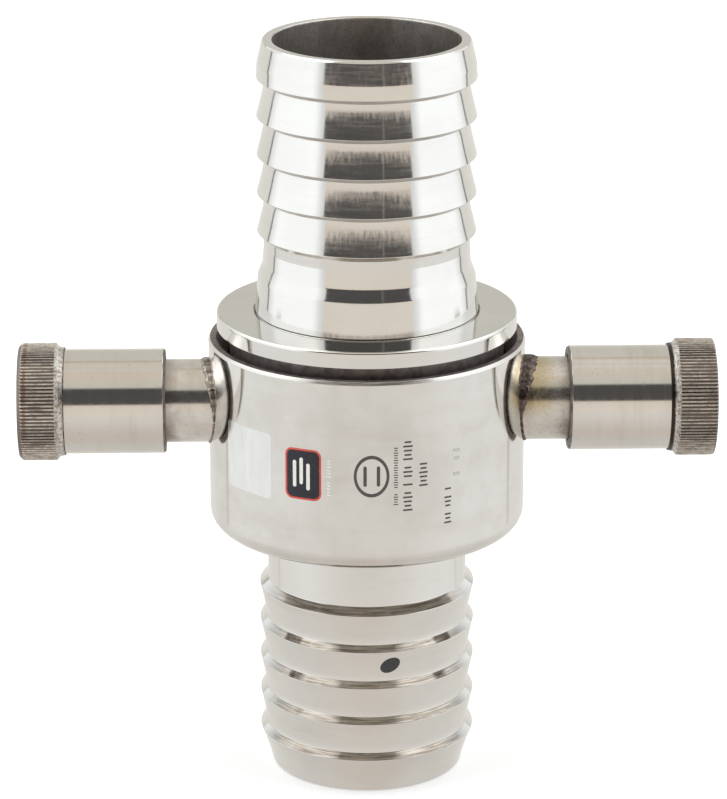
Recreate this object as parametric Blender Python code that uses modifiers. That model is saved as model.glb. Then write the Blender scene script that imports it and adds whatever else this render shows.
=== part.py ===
"""Instantaneous hose coupling, 63 mm: a female cup with two spring plungers, and the male half in it.

Metres, +Z up. The origin is the centre of the female tail's end face. The bore is on the Z axis,
and the two plungers are on one axis along X, at PLUNGER_Z.
"""

import math

import bmesh
import bpy
import mathutils

MM = 0.001

# Bore and facets. Every round piece about the Z axis has the same facets, so that gaps stay even.
BORE = 27.75
RING_STEPS = 40
HANDLE_STEPS = 32

# Serrated tails, measured from the hose end.
CRESTS = (11.1, 22.7, 34.3, 45.9, 57.5)
CREST_RADIUS = 32.5
ROOT_RADIUS = 30.5
CREST_LAND = 0.3
BARB_STEP = 1.8
HOLLOW_AT = 0.55
HOLLOW_RISE = 0.75
TOTAL_HEIGHT = 225.6

# Female cup.
BODY_RADIUS = 47.3
BODY_BOTTOM = 76.8
BODY_TOP = 135.3
BODY_BORE = 41.5
BODY_CORNER = 5.5
WASHER_SEAT = 84.0
WASHER_GROOVE = 42.6
WASHER_GROOVE_TOP = 95.0
MOUTH_RADIUS = 44.3
TAIL_SOCKET_RADIUS = 30.05
TAIL_SOCKET_TOP = 81.5

# Male half.
FLANGE_RADIUS = 44.75
FLANGE_BOTTOM = 138.5
FLANGE_TOP = 143.5
LAND_RADIUS = 41.0
LAND_BOTTOM = 124.5
GROOVE_RADIUS = 36.5
LUG_TOP = 108.3
LUG_BOTTOM = 101.0
NOSE_RADIUS = 38.4
NOSE_BOTTOM = 95.0
SPIGOT_SOCKET_RADIUS = 33.35
SPIGOT_SOCKET_FLOOR = 136.0

# Plungers, measured outwards from the bore axis.
PLUNGER_Z = 115.0
HOUSING_RADIUS = 12.5
HOUSING_BORE = 9.5
HOUSING_INNER_END = 42.0
HOUSING_WEB = 43.9
HOUSING_OUTER_END = 86.0
WELD_RADIUS = 15.2
WELD_INNER_END = 44.5
WELD_OUTER_END = 49.6
TOOTH_END = 37.3
TOOTH_BOTTOM = 109.0
TOOTH_TOP_AT_END = 114.0
HEAD_SHOULDER = 44.2
HEAD_RADIUS = 9.2
HEAD_END = 56.0
SPINDLE_RADIUS = 4.0
SPINDLE_END = 103.8
PLUG_INNER_END = 80.0
PLUG_RADIUS = 9.4
PLUG_RIM_RADIUS = 12.3
PLUG_OUTER_END = 88.6
STOP_TUBE_RADIUS = 5.5
STOP_TUBE_END = 62.3
SPRING_RADIUS = 6.8
SPRING_WIRE = 0.9
SPRING_TURNS = 7
SLEEVE_RADIUS = 15.7
SLEEVE_BORE = 13.0
SLEEVE_INNER_END = 60.2
SLEEVE_OUTER_END = 93.5

# Knurled caps and what holds them on the spindles.
CAP_INNER_END = 90.2
CAP_OUTER_END = 104.0
CAP_RADIUS = 17.65
CAP_NOSE_RADIUS = 16.3
CAP_SOCKET_RADIUS = 15.75
CAP_WEB_INNER = 93.8
CAP_WEB_OUTER = 96.5
CAP_RECESS_RADIUS = 9.5
KNURL_START = 92.7
KNURL_END = 102.5
KNURL_TEETH = 98
KNURL_DEPTH = 0.4
WASHER_OUTER_RADIUS = 8.0
NUT_START = 97.75
NUT_END = 101.1
NUT_ACROSS_FLATS = 13.0
PIN_AT = 102.3
PIN_RADIUS = 0.6


def clear_scene():
    """Removes the objects and collections that a new file starts with."""
    for leftover in list(bpy.data.objects):
        bpy.data.objects.remove(leftover, do_unlink=True)
    for leftover in list(bpy.data.collections):
        bpy.data.collections.remove(leftover)


def new_collection(name):
    made = bpy.data.collections.new(name)
    bpy.context.scene.collection.children.link(made)
    return made


def new_material(name, colour, metallic, roughness):
    made = bpy.data.materials.new(name)
    made.use_nodes = True
    surface = made.node_tree.nodes["Principled BSDF"]
    surface.inputs["Base Color"].default_value = (*colour, 1.0)
    surface.inputs["Metallic"].default_value = metallic
    surface.inputs["Roughness"].default_value = roughness
    return made


def place(obj, collection, side=None):
    """Puts a piece in its collection. With a side, its local +Z points outwards along that plunger.

    A plunger's local +X then points down on both sides.
    """
    collection.objects.link(obj)
    if side is not None:
        obj.location = (0.0, 0.0, PLUNGER_Z * MM)
        obj.rotation_euler = (0.0, math.pi / 2, 0.0 if side == "right" else math.pi)


def as_cutter(obj):
    obj.hide_render = True
    obj.display_type = "WIRE"


def mesh_object(name, mesh, colour_of):
    made = bpy.data.objects.new(name, mesh)
    if colour_of is not None:
        made.data.materials.append(colour_of)
    return made


def turned(name, profile, colour_of, steps, open_axis=True):
    """A piece turned about its local Z axis.

    The profile is in millimetres as (radius, height). It runs down the outer side first. With
    open_axis it's a closed loop round a bore, and without it both ends are on the axis.
    """
    mesh = bpy.data.meshes.new(name)
    points = [(radius * MM, 0.0, height * MM) for radius, height in profile]
    edges = [(i, i + 1) for i in range(len(points) - 1)]
    if open_axis:
        edges.append((len(points) - 1, 0))
    mesh.from_pydata(points, edges, [])
    made = mesh_object(name, mesh, colour_of)
    screw = made.modifiers.new("turn", "SCREW")
    screw.axis = "Z"
    screw.angle = 2 * math.pi
    screw.steps = steps
    screw.render_steps = steps
    screw.use_merge_vertices = True
    screw.merge_threshold = 0.00001
    screw.use_smooth_shade = True
    return made


def block(name, low, high):
    """A box between two corners, in millimetres, as a cutter's mesh."""
    shape = bmesh.new()
    bmesh.ops.create_cube(shape, size=1.0)
    size = [(high[i] - low[i]) * MM for i in range(3)]
    middle = [(high[i] + low[i]) / 2 * MM for i in range(3)]
    bmesh.ops.scale(shape, vec=size, verts=shape.verts)
    bmesh.ops.translate(shape, vec=middle, verts=shape.verts)
    return finished_mesh(name, shape)


def prism(name, radius, segments, low, high):
    """A regular prism along local Z, in millimetres. With many segments it's a cylinder."""
    shape = bmesh.new()
    bmesh.ops.create_cone(
        shape,
        cap_ends=True,
        segments=segments,
        radius1=radius * MM,
        radius2=radius * MM,
        depth=(high - low) * MM,
    )
    bmesh.ops.translate(shape, vec=(0.0, 0.0, (high + low) / 2 * MM), verts=shape.verts)
    return finished_mesh(name, shape)


def finished_mesh(name, shape):
    mesh = bpy.data.meshes.new(name)
    shape.to_mesh(mesh)
    shape.free()
    return mesh


def boolean(obj, other, operation="DIFFERENCE"):
    made = obj.modifiers.new(operation.lower(), "BOOLEAN")
    made.operation = operation
    made.solver = "EXACT"
    made.object = other


def tail_profile(rim, neck):
    """The outline of a serrated tail from its hose end, given its rim and what is past its barbs.

    Each barb rises slowly away from the hose end and drops at a steep step on the far side.
    """
    outer = list(rim)
    for i, crest in enumerate(CRESTS):
        if i > 0:
            root = CRESTS[i - 1] + BARB_STEP
            middle = root + HOLLOW_AT * (crest - root)
            outer.append((ROOT_RADIUS + HOLLOW_RISE, middle))
        outer.append((CREST_RADIUS, crest - CREST_LAND))
        outer.append((CREST_RADIUS, crest))
        if crest != CRESTS[-1]:
            outer.append((ROOT_RADIUS, crest + BARB_STEP))
    outer += neck
    inner = [(BORE, outer[0][1]), (BORE, outer[-1][1])]
    # down the outer side from the neck to the hose end, then up the bore
    return outer[::-1] + inner


def rounded_corner(radius, low, corner):
    """Points down a rounded bottom corner, from the side to the bottom face."""
    points = []
    for step in range(5):
        angle = math.radians(22.5 * step)
        across = radius - corner + corner * math.cos(angle)
        points.append((across, low + corner - corner * math.sin(angle)))
    return points


def build_female_half(parts, cutters, steel, rubber):
    mouth = [
        (45.3, BODY_TOP),
        (46.7, BODY_TOP - 0.6),
        (BODY_RADIUS, BODY_TOP - 2.0),
    ]
    cup = mouth + rounded_corner(BODY_RADIUS, BODY_BOTTOM, BODY_CORNER)
    cup += [
        (TAIL_SOCKET_RADIUS, BODY_BOTTOM),
        (TAIL_SOCKET_RADIUS, TAIL_SOCKET_TOP),
        (BORE, TAIL_SOCKET_TOP),
        (BORE, WASHER_SEAT),
        (WASHER_GROOVE, WASHER_SEAT),
        (WASHER_GROOVE, WASHER_GROOVE_TOP),
        (BODY_BORE, WASHER_GROOVE_TOP + 1.1),
        (BODY_BORE, 130.3),
        (MOUTH_RADIUS, BODY_TOP - 0.8),
    ]
    body = turned("female_body", cup, steel, RING_STEPS)
    place(body, parts)

    hole_outline = [(HOUSING_RADIUS + 0.1, 60.0), (HOUSING_RADIUS + 0.1, -60.0)]
    hole_outline = [(0.0, 60.0)] + hole_outline + [(0.0, -60.0)]
    hole = turned("housing_hole", hole_outline, None, HANDLE_STEPS, open_axis=False)
    place(hole, cutters, "right")
    as_cutter(hole)
    boolean(body, hole)

    rim = [(28.6, 0.0), (28.9, 0.4), (30.2, 4.6)]
    neck = [(30.0, CRESTS[-1] + 2.2), (30.0, TAIL_SOCKET_TOP - 0.3)]
    tail = turned("female_tail", tail_profile(rim, neck), steel, RING_STEPS)
    place(tail, parts)

    # Two lips round a shallow channel: the inner one seals on the male nose.
    lips = [
        (42.2, NOSE_BOTTOM - 1.0),
        (42.2, WASHER_SEAT + 0.3),
        (28.6, WASHER_SEAT + 0.3),
        (28.6, NOSE_BOTTOM - 0.3),
        (31.4, NOSE_BOTTOM - 0.3),
        (34.0, WASHER_SEAT + 4.2),
        (38.4, WASHER_SEAT + 4.2),
        (39.6, NOSE_BOTTOM - 1.0),
    ]
    washer = turned("sealing_washer", lips, rubber, RING_STEPS)
    place(washer, parts)


def build_male_half(parts, steel):
    spigot_outline = [
        (FLANGE_RADIUS - 0.7, FLANGE_TOP),
        (FLANGE_RADIUS, FLANGE_TOP - 0.7),
        (FLANGE_RADIUS, FLANGE_BOTTOM + 0.7),
        (FLANGE_RADIUS - 0.7, FLANGE_BOTTOM),
        (LAND_RADIUS, FLANGE_BOTTOM),
        (LAND_RADIUS, LAND_BOTTOM),
        (GROOVE_RADIUS, LAND_BOTTOM),
        (GROOVE_RADIUS, LUG_TOP),
        (LAND_RADIUS, LUG_TOP),
        (LAND_RADIUS, LUG_BOTTOM),
        (NOSE_RADIUS, NOSE_BOTTOM + 0.8),
        (NOSE_RADIUS - 0.8, NOSE_BOTTOM),
        (BORE, NOSE_BOTTOM),
        (BORE, SPIGOT_SOCKET_FLOOR),
        (SPIGOT_SOCKET_RADIUS, SPIGOT_SOCKET_FLOOR),
        (SPIGOT_SOCKET_RADIUS, FLANGE_TOP),
    ]
    spigot = turned("male_spigot", spigot_outline, steel, RING_STEPS)
    place(spigot, parts)

    rim = [(30.3, 0.0), (30.9, 0.7), (31.6, 5.2)]
    base_end = TOTAL_HEIGHT - SPIGOT_SOCKET_FLOOR - 0.3
    neck = [
        (30.6, 59.6),
        (30.6, 63.4),
        (31.1, 66.2),
        (32.4, 69.6),
        (33.0, 73.2),
        (SPIGOT_SOCKET_RADIUS - 0.05, 79.0),
        (SPIGOT_SOCKET_RADIUS - 0.05, base_end),
    ]
    tail = turned("male_tail", tail_profile(rim, neck), steel, RING_STEPS)
    place(tail, parts)
    # The same tail, turned over: its hose end is at the top.
    tail.location = (0.0, 0.0, TOTAL_HEIGHT * MM)
    tail.rotation_euler = (math.pi, 0.0, 0.0)


def build_housing(side, parts, cutters, steel):
    """The tube in the cup's wall, with its weld. A web inside holds the tooth level and stops it."""
    tube = turned(
        f"plunger_housing_{side}",
        [
            (0.0, HOUSING_OUTER_END),
            (HOUSING_RADIUS - 0.4, HOUSING_OUTER_END),
            (HOUSING_RADIUS, HOUSING_OUTER_END - 0.4),
            (HOUSING_RADIUS, HOUSING_INNER_END),
            (0.0, HOUSING_INNER_END),
        ],
        steel,
        HANDLE_STEPS,
        open_axis=False,
    )
    place(tube, parts, side)

    weld = turned(
        f"weld_{side}",
        [
            (0.0, WELD_OUTER_END),
            (HOUSING_RADIUS + 0.2, WELD_OUTER_END),
            (WELD_RADIUS - 1.2, WELD_INNER_END + 2.6),
            (WELD_RADIUS, WELD_INNER_END),
            (0.0, WELD_INNER_END),
        ],
        None,
        HANDLE_STEPS,
        open_axis=False,
    )
    place(weld, cutters, side)
    as_cutter(weld)

    # The weld ends 0.05 mm clear of the cup's outer face.
    cup_side = [(0.0, 140.0), (BODY_RADIUS + 0.05, 140.0), (BODY_RADIUS + 0.05, 80.0), (0.0, 80.0)]
    cup = turned(f"cup_side_{side}", cup_side, None, RING_STEPS, open_axis=False)
    place(cup, cutters)
    as_cutter(cup)
    boolean(weld, cup)
    boolean(tube, weld, "UNION")

    # The bore stops at the web below the tooth, and is open above it.
    bore_mesh = prism(
        f"housing_bore_{side}",
        HOUSING_BORE,
        HANDLE_STEPS,
        HOUSING_INNER_END - 1.0,
        HOUSING_OUTER_END + 4.0,
    )
    bore = mesh_object(f"housing_bore_{side}", bore_mesh, None)
    place(bore, cutters, side)
    as_cutter(bore)
    web_drop = PLUNGER_Z - TOOTH_BOTTOM + 0.3
    web_mesh = block(
        f"housing_web_{side}",
        (web_drop, -HOUSING_RADIUS, HOUSING_INNER_END - 2.0),
        (HOUSING_RADIUS, HOUSING_RADIUS, HOUSING_WEB),
    )
    web = mesh_object(f"housing_web_{side}", web_mesh, None)
    place(web, cutters, side)
    as_cutter(web)
    boolean(bore, web)
    boolean(tube, bore)


def build_plunger(side, parts, cutters, steel):
    """Tooth, head and spindle in one piece. The tooth is flat below and sloped above."""
    plunger = turned(
        f"plunger_{side}",
        [
            (0.0, SPINDLE_END),
            (SPINDLE_RADIUS - 0.6, SPINDLE_END),
            (SPINDLE_RADIUS, SPINDLE_END - 0.6),
            (SPINDLE_RADIUS, HEAD_END),
            (HEAD_RADIUS - 0.5, HEAD_END),
            (HEAD_RADIUS, HEAD_END - 0.5),
            (HEAD_RADIUS, TOOTH_END),
            (0.0, TOOTH_END),
        ],
        steel,
        HANDLE_STEPS,
        open_axis=False,
    )
    place(plunger, parts, side)

    # Local +X points down. The flat below the tooth is what the lug ring locks against.
    flat_at = PLUNGER_Z - TOOTH_BOTTOM
    flat_mesh = block(
        f"tooth_flat_{side}",
        (flat_at, -HOUSING_RADIUS, TOOTH_END - 2.0),
        (HOUSING_RADIUS, HOUSING_RADIUS, HEAD_SHOULDER),
    )
    flat = mesh_object(f"tooth_flat_{side}", flat_mesh, None)
    place(flat, cutters, side)
    as_cutter(flat)
    boolean(plunger, flat)

    # The slope: a block turned 45 degrees, with one edge along the top of the tooth's end.
    reach = 2 * HOUSING_RADIUS
    slope_mesh = block(f"tooth_slope_{side}", (-reach, -reach, -reach), (0.0, reach, reach))
    turn = mathutils.Matrix.Rotation(math.radians(-45), 4, "Y")
    shift = ((PLUNGER_Z - TOOTH_TOP_AT_END) * MM, 0.0, TOOTH_END * MM)
    slope_mesh.transform(mathutils.Matrix.Translation(shift) @ turn)
    slope = mesh_object(f"tooth_slope_{side}", slope_mesh, None)
    place(slope, cutters, side)
    as_cutter(slope)
    boolean(plunger, slope)

    hole_radius = PIN_RADIUS + 0.15
    hole_mesh = prism(f"pin_hole_{side}", hole_radius, 12, -2 * SPINDLE_RADIUS, 2 * SPINDLE_RADIUS)
    hole_mesh.transform(mathutils.Matrix.Rotation(math.pi / 2, 4, "X"))
    hole_mesh.transform(mathutils.Matrix.Translation((0.0, 0.0, PIN_AT * MM)))
    hole = mesh_object(f"pin_hole_{side}", hole_mesh, None)
    place(hole, cutters, side)
    as_cutter(hole)
    boolean(plunger, hole)


def build_tube(name, points, wire_radius, colour_of, side, parts):
    """A round wire along the points, in millimetres, with flat ends."""
    path = bpy.data.curves.new(name, "CURVE")
    path.dimensions = "3D"
    path.bevel_depth = wire_radius * MM
    path.bevel_resolution = 1
    path.use_fill_caps = True
    spline = path.splines.new("POLY")
    spline.points.add(len(points) - 1)
    for point, (x, y, z) in zip(spline.points, points):
        point.co = (x * MM, y * MM, z * MM, 1.0)
    path.materials.append(colour_of)
    made = bpy.data.objects.new(name, path)
    place(made, parts, side)


def build_spring(side, parts, spring_steel):
    """A compression spring between the plunger's head and the housing's plug."""
    low = HEAD_END + SPRING_WIRE + 0.3
    high = PLUG_INNER_END - SPRING_WIRE - 0.3
    per_turn = 12
    count = SPRING_TURNS * per_turn
    points = []
    for step in range(count + 1):
        angle = 2 * math.pi * step / per_turn
        along = low + (high - low) * step / count
        points.append((SPRING_RADIUS * math.cos(angle), SPRING_RADIUS * math.sin(angle), along))
    build_tube(f"spring_{side}", points, SPRING_WIRE, spring_steel, side, parts)


def build_plug(side, parts, steel):
    """The bush in the housing's outer end. Its inner tube guides the spindle and stops the head."""
    outline = [
        (PLUG_RIM_RADIUS - 0.6, PLUG_OUTER_END),
        (PLUG_RIM_RADIUS, PLUG_OUTER_END - 0.6),
        (PLUG_RIM_RADIUS, HOUSING_OUTER_END + 0.1),
        (PLUG_RADIUS, HOUSING_OUTER_END + 0.1),
        (PLUG_RADIUS, PLUG_INNER_END),
        (STOP_TUBE_RADIUS, PLUG_INNER_END),
        (STOP_TUBE_RADIUS, STOP_TUBE_END),
        (SPINDLE_RADIUS + 0.25, STOP_TUBE_END),
        (SPINDLE_RADIUS + 0.25, PLUG_OUTER_END),
    ]
    plug = turned(f"housing_plug_{side}", outline, steel, HANDLE_STEPS)
    place(plug, parts, side)


def build_sleeve(side, parts, steel):
    outline = [
        (SLEEVE_RADIUS, SLEEVE_OUTER_END),
        (SLEEVE_RADIUS, SLEEVE_INNER_END + 0.5),
        (SLEEVE_RADIUS - 0.5, SLEEVE_INNER_END),
        (SLEEVE_BORE + 0.3, SLEEVE_INNER_END),
        (SLEEVE_BORE, SLEEVE_INNER_END + 0.3),
        (SLEEVE_BORE, SLEEVE_OUTER_END),
    ]
    sleeve = turned(f"pull_sleeve_{side}", outline, steel, HANDLE_STEPS)
    place(sleeve, parts, side)


def build_cap(side, parts, cutters, steel):
    """A grip with straight knurling, a socket for the sleeve and a recess for the nut."""
    count = 2 * KNURL_TEETH
    outline = [
        (0.0, CAP_OUTER_END),
        (CAP_RADIUS - 1.4, CAP_OUTER_END),
        (CAP_RADIUS, KNURL_END),
        (CAP_RADIUS, KNURL_START),
        (CAP_NOSE_RADIUS, CAP_INNER_END),
        (0.0, CAP_INNER_END),
    ]
    shape = bmesh.new()
    points = [shape.verts.new((radius * MM, 0.0, height * MM)) for radius, height in outline]
    edges = [shape.edges.new(pair) for pair in zip(points, points[1:])]
    bmesh.ops.spin(
        shape,
        geom=points + edges,
        axis=(0.0, 0.0, 1.0),
        cent=(0.0, 0.0, 0.0),
        angle=2 * math.pi,
        steps=count,
        use_merge=True,
    )
    bmesh.ops.remove_doubles(shape, verts=shape.verts, dist=0.00001)
    bmesh.ops.recalc_face_normals(shape, faces=shape.faces)
    # Every second point along the knurled band sinks to make a groove.
    for point in shape.verts:
        radius = math.hypot(point.co.x, point.co.y)
        angle = math.atan2(point.co.y, point.co.x)
        step = round(angle / (2 * math.pi) * count)
        if abs(radius - CAP_RADIUS * MM) < 0.01 * MM and step % 2:
            sunk = (CAP_RADIUS - KNURL_DEPTH) / CAP_RADIUS
            point.co.x *= sunk
            point.co.y *= sunk
    cap = mesh_object(f"knurled_cap_{side}", finished_mesh(f"knurled_cap_{side}", shape), steel)
    place(cap, parts, side)

    hollow_outline = [
        (0.0, 110.0),
        (CAP_RECESS_RADIUS, 110.0),
        (CAP_RECESS_RADIUS, CAP_WEB_OUTER),
        (SPINDLE_RADIUS + 0.25, CAP_WEB_OUTER),
        (SPINDLE_RADIUS + 0.25, CAP_WEB_INNER),
        (CAP_SOCKET_RADIUS, CAP_WEB_INNER),
        (CAP_SOCKET_RADIUS, 85.0),
        (0.0, 85.0),
    ]
    hollow = turned(f"cap_hollow_{side}", hollow_outline, None, HANDLE_STEPS, open_axis=False)
    place(hollow, cutters, side)
    as_cutter(hollow)
    boolean(cap, hollow)


def build_fastening(side, parts, cutters, steel):
    """Washer, nut and split pin on the spindle's end, in the cap's recess."""
    washer_outline = [
        (WASHER_OUTER_RADIUS, CAP_WEB_OUTER + 1.15),
        (WASHER_OUTER_RADIUS, CAP_WEB_OUTER + 0.1),
        (SPINDLE_RADIUS + 0.25, CAP_WEB_OUTER + 0.1),
        (SPINDLE_RADIUS + 0.25, CAP_WEB_OUTER + 1.15),
    ]
    washer = turned(f"spindle_washer_{side}", washer_outline, steel, HANDLE_STEPS)
    place(washer, parts, side)

    corner = NUT_ACROSS_FLATS / 2 / math.cos(math.pi / 6)
    nut_mesh = prism(f"spindle_nut_{side}", corner, 6, NUT_START, NUT_END)
    nut = mesh_object(f"spindle_nut_{side}", nut_mesh, steel)
    place(nut, parts, side)
    thread_mesh = prism(
        f"nut_thread_{side}", SPINDLE_RADIUS + 0.12, HANDLE_STEPS, NUT_START - 1.0, NUT_END + 1.0
    )
    thread = mesh_object(f"nut_thread_{side}", thread_mesh, None)
    place(thread, cutters, side)
    as_cutter(thread)
    boolean(nut, thread)

    # One leg through the spindle, a bent end, and an eye that stays open.
    eye = 1.2
    points = [(1.6, -6.2, PIN_AT), (0.5, -5.6, PIN_AT), (0.0, -4.9, PIN_AT), (0.0, 4.8, PIN_AT)]
    for step in range(1, 10):
        angle = -math.pi / 2 + math.radians(33) * step
        points.append((eye * math.cos(angle) * 0.9, 4.8 + eye + eye * math.sin(angle), PIN_AT))
    build_tube(f"split_pin_{side}", points, PIN_RADIUS, steel, side, parts)


def main():
    clear_scene()
    parts = new_collection("hose_coupling")
    cutters = new_collection("cutters")
    polished = new_material("polished_steel", (0.72, 0.71, 0.68), 1.0, 0.16)
    knurled = new_material("knurled_steel", (0.55, 0.53, 0.49), 1.0, 0.38)
    spring_steel = new_material("spring_steel", (0.45, 0.45, 0.46), 1.0, 0.32)
    rubber = new_material("black_rubber", (0.025, 0.025, 0.025), 0.0, 0.75)

    build_female_half(parts, cutters, polished, rubber)
    build_male_half(parts, polished)
    for side in ("left", "right"):
        build_housing(side, parts, cutters, polished)
        build_plunger(side, parts, cutters, polished)
        build_spring(side, parts, spring_steel)
        build_plug(side, parts, polished)
        build_sleeve(side, parts, polished)
        build_cap(side, parts, cutters, knurled)
        build_fastening(side, parts, cutters, polished)


main()
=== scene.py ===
"""Looks of the instantaneous hose coupling: fine meshes and procedural materials on its frame.

Lengths in this script are millimetres until a mesh is made, and angles are in degrees. The bore is
on the Z axis and the front of the coupling faces -Y.
"""

import math

import bmesh
import bpy
from mathutils import Matrix, Vector, noise


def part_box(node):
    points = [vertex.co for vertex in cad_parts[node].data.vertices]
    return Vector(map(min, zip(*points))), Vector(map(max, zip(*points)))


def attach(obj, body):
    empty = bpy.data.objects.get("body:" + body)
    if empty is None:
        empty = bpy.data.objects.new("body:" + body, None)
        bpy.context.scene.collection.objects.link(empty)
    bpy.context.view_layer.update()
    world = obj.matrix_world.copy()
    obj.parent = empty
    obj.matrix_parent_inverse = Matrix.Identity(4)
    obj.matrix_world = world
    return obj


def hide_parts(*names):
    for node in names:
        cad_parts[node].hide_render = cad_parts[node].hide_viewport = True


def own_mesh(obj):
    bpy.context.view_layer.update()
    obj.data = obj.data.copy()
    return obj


MM = 0.001

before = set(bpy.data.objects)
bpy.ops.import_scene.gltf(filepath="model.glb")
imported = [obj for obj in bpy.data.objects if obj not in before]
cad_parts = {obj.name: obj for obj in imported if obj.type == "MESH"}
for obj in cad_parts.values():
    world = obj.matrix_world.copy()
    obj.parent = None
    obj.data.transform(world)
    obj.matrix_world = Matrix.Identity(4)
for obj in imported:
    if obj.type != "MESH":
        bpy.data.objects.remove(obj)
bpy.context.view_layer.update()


def box_mm(node):
    low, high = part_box(node)
    return low / MM, high / MM


# Places and sizes that come from the frame.
BODY_LOW, BODY_HIGH = box_mm("female_body")
LOWER_HIGH = box_mm("female_tail")[1]
UPPER_LOW, UPPER_HIGH = box_mm("male_tail")
SPIGOT_LOW, SPIGOT_HIGH = box_mm("male_spigot")
SEAL_LOW, SEAL_HIGH = box_mm("sealing_washer")
HOUSING_LOW, HOUSING_HIGH = box_mm("plunger_housing_right")
PLUG_LOW, PLUG_HIGH = box_mm("housing_plug_right")
PLUNGER_LOW, PLUNGER_HIGH = box_mm("plunger_right")
SPRING_LOW, SPRING_HIGH = box_mm("spring_right")
SLEEVE_LOW, SLEEVE_HIGH = box_mm("pull_sleeve_right")
CAP_LOW, CAP_HIGH = box_mm("knurled_cap_right")
WASHER_LOW, WASHER_HIGH = box_mm("spindle_washer_right")
NUT_LOW, NUT_HIGH = box_mm("spindle_nut_right")
PIN_LOW, PIN_HIGH = box_mm("split_pin_right")

BODY_RADIUS = BODY_HIGH.x
CREST_RADIUS = LOWER_HIGH.x
PLUNGER_Z = (PLUNGER_LOW.z + PLUNGER_HIGH.z) / 2
SLEEVE_RADIUS = (SLEEVE_HIGH.z - SLEEVE_LOW.z) / 2
CAP_RADIUS = (CAP_HIGH.z - CAP_LOW.z) / 2
HEAD_RADIUS = (PLUNGER_HIGH.z - PLUNGER_LOW.z) / 2

OUTWARD = {"left": -1.0, "right": 1.0}

# Sizes that the boxes don't give.
BORE = 27.75
CRESTS = (11.1, 22.7, 34.3, 45.9, 57.5)
LOWER_ROOT = 30.75
LOWER_STEP = 1.8
UPPER_ROOT = 30.3
UPPER_STEP = 1.35
STEPS_END = 62.0
HOUSING_RADIUS = 12.5
HOUSING_BORE = 9.5
PLUG_SHOULDER = 80.0
SPINDLE_RADIUS = 4.0
THREAD_PITCH = 1.25
KNURL_TEETH = 98

PRINT_LIFT = 0.012
PRINT_THICKNESS = 0.02

ROUND_STEPS = 224
HANDLE_STEPS = 128
SMALL_STEPS = 64
ARC_STEPS = 6


# ---------------------------------------------------------------- outlines


def unit(a, b):
    length = math.hypot(b[0] - a[0], b[1] - a[1])
    return (b[0] - a[0]) / length, (b[1] - a[1]) / length, length


def filleted(corners, closed=True):
    """Points through (radius, height, fillet) corners. Each fillet is an arc.

    A support point stands just outside each arc, so that the flats beside it are shaded flat.
    """
    points = []
    count = len(corners)
    for i, (radius, height, fillet) in enumerate(corners):
        at_end = not closed and i in (0, count - 1)
        if fillet == 0 or at_end:
            points.append((radius, height))
            continue
        here = (radius, height)
        back = unit(here, corners[i - 1])
        ahead = unit(here, corners[(i + 1) % count])
        dot = back[0] * ahead[0] + back[1] * ahead[1]
        half = math.acos(max(-1.0, min(1.0, dot))) / 2
        reach = fillet / math.tan(half)
        support = 0.5 * fillet
        room = 0.5 * min(back[2], ahead[2])
        if reach + support > room:
            shrink = room / (reach + support)
            reach *= shrink
            support *= shrink
            fillet *= shrink
        middle = (back[0] + ahead[0], back[1] + ahead[1])
        size = math.hypot(*middle)
        to_centre = fillet / math.sin(half)
        x = radius + middle[0] / size * to_centre
        y = height + middle[1] / size * to_centre
        start = (radius + back[0] * reach, height + back[1] * reach)
        end = (radius + ahead[0] * reach, height + ahead[1] * reach)
        turn_from = math.atan2(start[1] - y, start[0] - x)
        turn_to = math.atan2(end[1] - y, end[0] - x)
        turn = (turn_to - turn_from + math.pi) % (2 * math.pi) - math.pi
        points.append((start[0] + back[0] * support, start[1] + back[1] * support))
        for step in range(ARC_STEPS + 1):
            angle = turn_from + turn * step / ARC_STEPS
            points.append((x + fillet * math.cos(angle), y + fillet * math.sin(angle)))
        points.append((end[0] + ahead[0] * support, end[1] + ahead[1] * support))
    return points


def refined(points, longest, closed=True):
    """The same outline with no stretch longer than this."""
    made = []
    count = len(points)
    for i, point in enumerate(points):
        made.append(point)
        if i == count - 1 and not closed:
            break
        after = points[(i + 1) % count]
        x, y = after[0] - point[0], after[1] - point[1]
        pieces = int(math.hypot(x, y) // longest)
        for step in range(1, pieces + 1):
            share = step / (pieces + 1)
            made.append((point[0] + share * x, point[1] + share * y))
    return made


# ---------------------------------------------------------------- meshes


def new_object(name, data):
    made = bpy.data.objects.new(name, data)
    bpy.context.scene.collection.objects.link(made)
    return made


def mesh_from(shape, name):
    mesh = bpy.data.meshes.new(name)
    shape.to_mesh(mesh)
    shape.free()
    return mesh


def add_strip(shape, first, second):
    """Faces between two closed rings of points."""
    count = len(first)
    for i in range(count):
        j = (i + 1) % count
        shape.faces.new((first[i], first[j], second[j], second[i]))


def smoothed(mesh, angle=32):
    mesh.shade_smooth()
    mesh.set_sharp_from_angle(angle=math.radians(angle))


def new_piece(name, mesh, material, body, replaces=()):
    """Puts a finished mesh in the scene as a piece of the object."""
    if material is not None:
        mesh.materials.append(material)
    piece = new_object(name, mesh)
    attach(piece, body)
    if replaces:
        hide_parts(*replaces)
    return piece


def new_fine_piece(node, mesh, body, material=None, sharp=32):
    """Smooths a mesh and adds it as the piece that is seen in place of a CAD node."""
    smoothed(mesh, sharp)
    return new_piece(f"{node}_fine", mesh, material, body, [node])


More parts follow.
